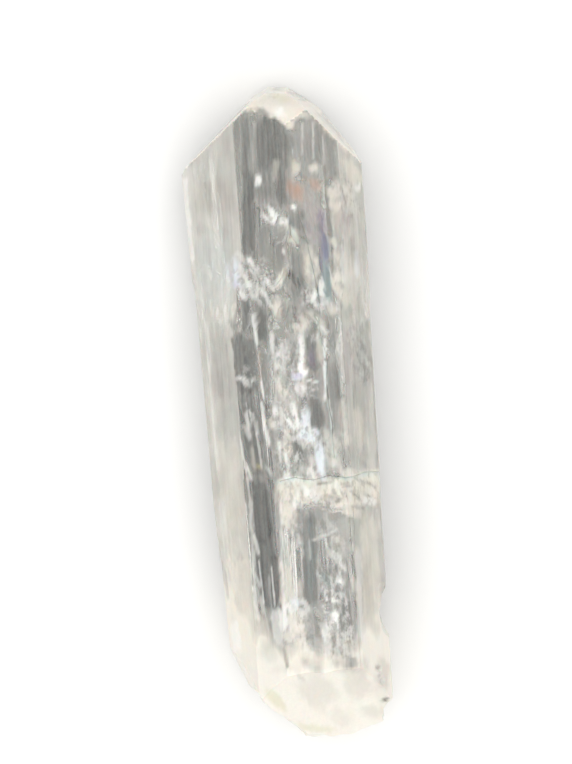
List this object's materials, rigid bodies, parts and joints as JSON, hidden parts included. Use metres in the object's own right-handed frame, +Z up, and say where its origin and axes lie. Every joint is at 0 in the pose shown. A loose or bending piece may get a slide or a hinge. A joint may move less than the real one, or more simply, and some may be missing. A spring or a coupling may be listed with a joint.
{
  "type": "danburite crystal",
  "caption": "Loose clear danburite crystal: a long grooved prism with a wedge tip and a milky broken base, lying on one of its flat faces.",
  "frame": {"origin": "middle of the underside of the bounding box, on the face that the crystal rests on", "axes": "+Y along the crystal from its broken base to its wedge tip, +Z up from the resting face to the front faces, +X to the right as pictured"},
  "size_m": [0.0154, 0.056, 0.0117],
  "materials": {
    "clear_danburite": "clear glassy faces, milky and frosted at the broken base"
  },
  "bodies": {
    "root": {"danburite_crystal": "clear_danburite"}
  },
  "joints": []
}
